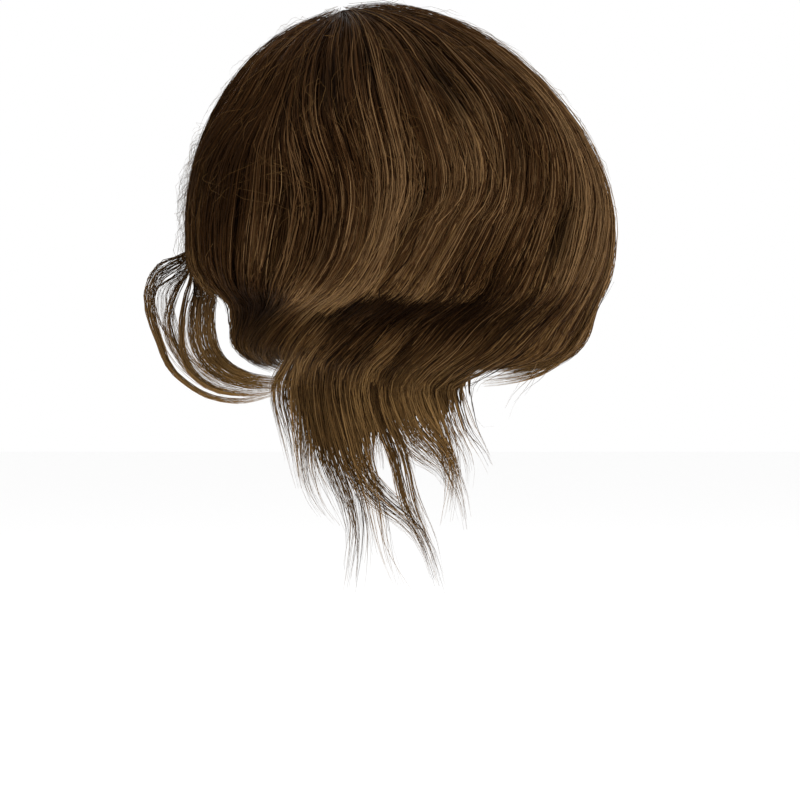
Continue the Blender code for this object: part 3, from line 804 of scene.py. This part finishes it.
def hair_colour_group(colours):
    """Node group that gives hair its colour from tone, share of its length and shade."""
    group = bpy.data.node_groups.get("hair_colour")
    if group:
        return group
    group = bpy.data.node_groups.new("hair_colour", "ShaderNodeTree")
    group.interface.new_socket("Tone", in_out="INPUT", socket_type="NodeSocketFloat")
    group.interface.new_socket("Length", in_out="INPUT", socket_type="NodeSocketFloat")
    group.interface.new_socket("Shade", in_out="INPUT", socket_type="NodeSocketFloat")
    group.interface.new_socket("Colour", in_out="OUTPUT", socket_type="NodeSocketColor")
    nodes, links = group.nodes, group.links
    given, result = nodes.new("NodeGroupInput"), nodes.new("NodeGroupOutput")
    tone = nodes.new("ShaderNodeValToRGB")
    tone.color_ramp.elements[0].color = (*colours.dark, 1)
    tone.color_ramp.elements[1].color = (*colours.light, 1)
    middle = tone.color_ramp.elements.new(0.5)
    middle.color = (*colours.middle, 1)
    links.new(given.outputs["Tone"], tone.inputs["Fac"])
    ends = nodes.new("ShaderNodeMapRange")
    ends.inputs["From Min"].default_value = 0.45
    ends.inputs["To Max"].default_value = 1.1
    links.new(given.outputs["Length"], ends.inputs["Value"])
    tipped = nodes.new("ShaderNodeMix")
    tipped.data_type = "RGBA"
    tipped.inputs["B"].default_value = (*colours.tip, 1)
    lighter = nodes.new("ShaderNodeMath")
    lighter.operation = "MULTIPLY"
    links.new(given.outputs["Tone"], lighter.inputs[0])
    links.new(ends.outputs["Result"], lighter.inputs[1])
    links.new(lighter.outputs[0], tipped.inputs["Factor"])
    links.new(tone.outputs["Color"], tipped.inputs["A"])
    shaded = nodes.new("ShaderNodeMix")
    shaded.data_type = "RGBA"
    shaded.inputs["B"].default_value = (*[value * 0.5 for value in colours.dark], 1)
    links.new(given.outputs["Shade"], shaded.inputs["Factor"])
    links.new(tipped.outputs["Result"], shaded.inputs["A"])
    links.new(shaded.outputs["Result"], result.inputs["Colour"])
    return group


def hair_base_nodes(material, colours):
    """Nodes that read a hair piece's attribute and colour it."""
    nodes, links = material.node_tree.nodes, material.node_tree.links
    lay = nodes.new("ShaderNodeAttribute")
    lay.attribute_name = "lay"
    parts = nodes.new("ShaderNodeSeparateXYZ")
    links.new(lay.outputs["Vector"], parts.inputs[0])
    colour = nodes.new("ShaderNodeGroup")
    colour.node_tree = hair_colour_group(colours)
    links.new(parts.outputs["Y"], colour.inputs["Length"])
    links.new(parts.outputs["Z"], colour.inputs["Shade"])
    return nodes, links, nodes["Principled BSDF"], parts, colour


def strand_material(colours):
    """Glossy hair whose colour follows each strand from root to tip."""
    material = bpy.data.materials.get("wavy_hair")
    if material:
        return material
    material = bpy.data.materials.new("wavy_hair")
    material.use_nodes = True
    nodes, links, shader, parts, colour = hair_base_nodes(material, colours)
    shader.inputs["Roughness"].default_value = 0.42
    shader.inputs["Specular IOR Level"].default_value = 0.02
    shader.inputs["Specular Tint"].default_value = (1.0, 0.70, 0.42, 1)
    links.new(parts.outputs["X"], colour.inputs["Tone"])
    links.new(colour.outputs["Colour"], shader.inputs["Base Color"])
    coords = nodes.new("ShaderNodeTexCoord")
    noise = nodes.new("ShaderNodeTexNoise")
    noise.inputs["Scale"].default_value = 700
    links.new(coords.outputs["Object"], noise.inputs["Vector"])
    grain = nodes.new("ShaderNodeBump")
    grain.inputs["Strength"].default_value = 0.2
    grain.inputs["Distance"].default_value = 0.0002
    links.new(noise.outputs["Fac"], grain.inputs["Height"])
    links.new(grain.outputs["Normal"], shader.inputs["Normal"])
    return material


def under_hair_material(colours):
    """Hair kept dark by painted shade, with fine streaks that run the way the locks lie."""
    material = bpy.data.materials.get("under_hair")
    if material:
        return material
    material = bpy.data.materials.new("under_hair")
    material.use_nodes = True
    nodes, links, shader, parts, colour = hair_base_nodes(material, colours)
    shader.inputs["Roughness"].default_value = 0.6
    shader.inputs["Specular IOR Level"].default_value = 0.0
    way = nodes.new("ShaderNodeAttribute")
    way.attribute_name = "way"
    stretch = nodes.new("ShaderNodeMapping")
    stretch.inputs["Scale"].default_value = (3.2, 0.05, 1)
    links.new(way.outputs["Vector"], stretch.inputs["Vector"])
    streaks = nodes.new("ShaderNodeTexNoise")
    streaks.inputs["Scale"].default_value = 1.0
    streaks.inputs["Detail"].default_value = 4
    links.new(stretch.outputs["Vector"], streaks.inputs["Vector"])
    spread = nodes.new("ShaderNodeMapRange")
    spread.inputs["From Min"].default_value = 0.3
    spread.inputs["From Max"].default_value = 0.7
    spread.inputs["To Min"].default_value = -0.35
    spread.inputs["To Max"].default_value = 0.35
    links.new(streaks.outputs["Fac"], spread.inputs["Value"])
    total = nodes.new("ShaderNodeMath")
    links.new(parts.outputs["X"], total.inputs[0])
    links.new(spread.outputs["Result"], total.inputs[1])
    links.new(total.outputs[0], colour.inputs["Tone"])
    links.new(colour.outputs["Colour"], shader.inputs["Base Color"])
    grooves = nodes.new("ShaderNodeBump")
    grooves.inputs["Distance"].default_value = 0.0006
    links.new(streaks.outputs["Fac"], grooves.inputs["Height"])
    links.new(grooves.outputs["Normal"], shader.inputs["Normal"])
    return material


def lace_material(colours):
    """Fine lace with small raised knots."""
    material = bpy.data.materials.new("fine_lace")
    material.use_nodes = True
    nodes, links = material.node_tree.nodes, material.node_tree.links
    shader = nodes["Principled BSDF"]
    shader.inputs["Roughness"].default_value = 0.75
    coords = nodes.new("ShaderNodeTexCoord")
    weave = nodes.new("ShaderNodeTexVoronoi")
    weave.inputs["Scale"].default_value = 900
    links.new(coords.outputs["Object"], weave.inputs["Vector"])
    ramp = nodes.new("ShaderNodeValToRGB")
    ramp.color_ramp.elements[0].color = (*[value * 0.6 for value in colours.lace], 1)
    ramp.color_ramp.elements[1].color = (*colours.lace, 1)
    links.new(weave.outputs["Distance"], ramp.inputs["Fac"])
    links.new(ramp.outputs["Color"], shader.inputs["Base Color"])
    raised = nodes.new("ShaderNodeBump")
    raised.inputs["Distance"].default_value = 0.0003
    links.new(weave.outputs["Distance"], raised.inputs["Height"])
    links.new(raised.outputs["Normal"], shader.inputs["Normal"])
    return material


def finish_hair(piece, material):
    """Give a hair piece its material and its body."""
    piece.data.materials.append(material)
    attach(piece, RIDER)


class TOUPEE_OT_under_hair(bpy.types.Operator):
    """Lay the under hair that the strands cover, darkened with painted shade"""
    bl_idname = "toupee.under_hair"
    bl_label = "Under hair"

    def execute(self, context):
        piece = under_hair_mesh("under_hair", context.scene.toupee_sizes.under_depth)
        finish_hair(piece, under_hair_material(context.scene.toupee_colours))
        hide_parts(*HAIR_NODES)
        return {"FINISHED"}


class TOUPEE_OT_dome_strands(bpy.types.Operator):
    """Lay the strands on the back, the sides and the front"""
    bl_idname = "toupee.dome_strands"
    bl_label = "Strands of the dome"

    def execute(self, context):
        sizes, colours = context.scene.toupee_sizes, context.scene.toupee_colours
        rng = np.random.default_rng(SEED)
        stretches = (
            ("strands_right_side", sizes.side_strands, -130, -80, 18),
            ("strands_back_right", sizes.back_strands, -82, -30, 20),
            ("strands_back_middle", sizes.back_strands, -33, 22, 20),
            ("strands_back_left", sizes.back_strands, 20, 80, 20),
            ("strands_left_side", sizes.side_strands, 76, 130, 16),
            ("strands_front", sizes.front_strands, 128, 232, 14),
        )
        for name, count, first, last, rings in stretches:
            piece = dome_strands(name, rng, count, first, last, rings, sizes.strand_width)
            finish_hair(piece, strand_material(colours))
        return {"FINISHED"}


class TOUPEE_OT_fall(bpy.types.Operator):
    """Hang the locks at the nape"""
    bl_idname = "toupee.fall"
    bl_label = "Fall at the nape"

    def execute(self, context):
        sizes, colours = context.scene.toupee_sizes, context.scene.toupee_colours
        piece = fall_strands("fall_strands", np.random.default_rng(SEED + 1), sizes.strand_width)
        finish_hair(piece, strand_material(colours))
        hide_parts("nape_fall")
        finish_hair(under_fall_mesh("under_fall"), under_hair_material(colours))
        return {"FINISHED"}


class TOUPEE_OT_curl(bpy.types.Operator):
    """Hang the open curl at the left side"""
    bl_idname = "toupee.curl"
    bl_label = "Open curl"

    def execute(self, context):
        sizes, colours = context.scene.toupee_sizes, context.scene.toupee_colours
        piece = curl_strands("curl_strands", np.random.default_rng(SEED + 2), sizes.strand_width)
        finish_hair(piece, strand_material(colours))
        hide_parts("side_curl")
        return {"FINISHED"}


class TOUPEE_OT_loose_hairs(bpy.types.Operator):
    """Add the loose hairs that stand off the outline"""
    bl_idname = "toupee.loose_hairs"
    bl_label = "Loose hairs"

    def execute(self, context):
        sizes, colours = context.scene.toupee_sizes, context.scene.toupee_colours
        rng = np.random.default_rng(SEED + 3)
        piece = loose_hairs("loose_hairs", rng, sizes.loose_hairs, sizes.loose_width)
        finish_hair(piece, strand_material(colours))
        return {"FINISHED"}


class TOUPEE_OT_base(bpy.types.Operator):
    """Give the base its lace"""
    bl_idname = "toupee.base"
    bl_label = "Lace base"

    def execute(self, context):
        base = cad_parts["base_cap"]
        material = lace_material(context.scene.toupee_colours)
        for slot in base.material_slots:
            slot.material = material
        return {"FINISHED"}


class TOUPEE_OT_stage(bpy.types.Operator):
    """Set the floor, the lights and the camera"""
    bl_idname = "toupee.stage"
    bl_label = "Stage"

    def execute(self, context):
        scene = context.scene
        floor_mesh = bmesh.new()
        bmesh.ops.create_grid(floor_mesh, x_segments=1, y_segments=1, size=14)
        bmesh.ops.translate(floor_mesh, vec=(0, 0, FLOOR_HEIGHT), verts=floor_mesh.verts)
        data = bpy.data.meshes.new("floor")
        floor_mesh.to_mesh(data)
        floor_mesh.free()
        floor = add_piece("floor", data)
        paint = bpy.data.materials.new("pale_floor")
        paint.use_nodes = True
        shader = paint.node_tree.nodes["Principled BSDF"]
        shader.inputs["Base Color"].default_value = (0.95, 0.95, 0.95, 1)
        shader.inputs["Roughness"].default_value = 0.9
        shader.inputs["Emission Color"].default_value = (1, 1, 1, 1)
        shader.inputs["Emission Strength"].default_value = 0.57
        data.materials.append(paint)
        world = bpy.data.worlds.new("pale_world")
        world.use_nodes = True
        nodes, links = world.node_tree.nodes, world.node_tree.links
        soft = nodes["Background"]
        soft.inputs["Color"].default_value = (1, 1, 1, 1)
        soft.inputs["Strength"].default_value = 0.42
        plain = nodes.new("ShaderNodeBackground")
        plain.inputs["Color"].default_value = (1, 1, 1, 1)
        path = nodes.new("ShaderNodeLightPath")
        either = nodes.new("ShaderNodeMixShader")
        links.new(path.outputs["Is Camera Ray"], either.inputs[0])
        links.new(soft.outputs[0], either.inputs[1])
        links.new(plain.outputs[0], either.inputs[2])
        links.new(either.outputs[0], nodes["World Output"].inputs["Surface"])
        scene.world = world
        scene.view_settings.view_transform = "Standard"
        for name, place, power, size in LIGHTS:
            light = bpy.data.lights.new(name, "AREA")
            light.energy = power
            light.size = size
            lamp = bpy.data.objects.new(name, light)
            lamp.location = place
            aim = Vector(LIT_PLACE) - Vector(place)
            lamp.rotation_euler = aim.to_track_quat("-Z", "Y").to_euler()
            scene.collection.objects.link(lamp)
        camera_data = bpy.data.cameras.new("camera")
        camera_data.lens = 150
        camera_data.sensor_width = 36
        camera = bpy.data.objects.new("camera", camera_data)
        camera.location = CAMERA_PLACE
        camera.rotation_euler = (math.radians(90), 0, math.radians(180))
        scene.collection.objects.link(camera)
        scene.camera = camera
        return {"FINISHED"}


OPERATORS = (TOUPEE_OT_stage, TOUPEE_OT_base, TOUPEE_OT_under_hair, TOUPEE_OT_dome_strands, TOUPEE_OT_fall,
             TOUPEE_OT_curl, TOUPEE_OT_loose_hairs)


class TOUPEE_PT_panel(bpy.types.Panel):
    """Lists the pieces of the toupee"""
    bl_idname = "TOUPEE_PT_panel"
    bl_label = "Toupee hairpiece"
    bl_space_type = "VIEW_3D"
    bl_region_type = "UI"
    bl_category = "Toupee"

    def draw(self, context):
        for operator in OPERATORS:
            self.layout.operator(operator.bl_idname)
        for group in (context.scene.toupee_sizes, context.scene.toupee_colours):
            for name in group.__annotations__:
                self.layout.prop(group, name)


CLASSES = (HairSizes, HairColours) + OPERATORS + (TOUPEE_PT_panel,)


def register():
    for item in CLASSES:
        bpy.utils.register_class(item)
    bpy.types.Scene.toupee_sizes = PointerProperty(type=HairSizes)
    bpy.types.Scene.toupee_colours = PointerProperty(type=HairColours)


def unregister():
    del bpy.types.Scene.toupee_colours
    del bpy.types.Scene.toupee_sizes
    for item in reversed(CLASSES):
        bpy.utils.unregister_class(item)


def main():
    register()
    bpy.ops.toupee.stage()
    bpy.ops.toupee.base()
    bpy.ops.toupee.under_hair()
    bpy.ops.toupee.dome_strands()
    bpy.ops.toupee.fall()
    bpy.ops.toupee.curl()
    bpy.ops.toupee.loose_hairs()


if __name__ == "__main__":
    main()
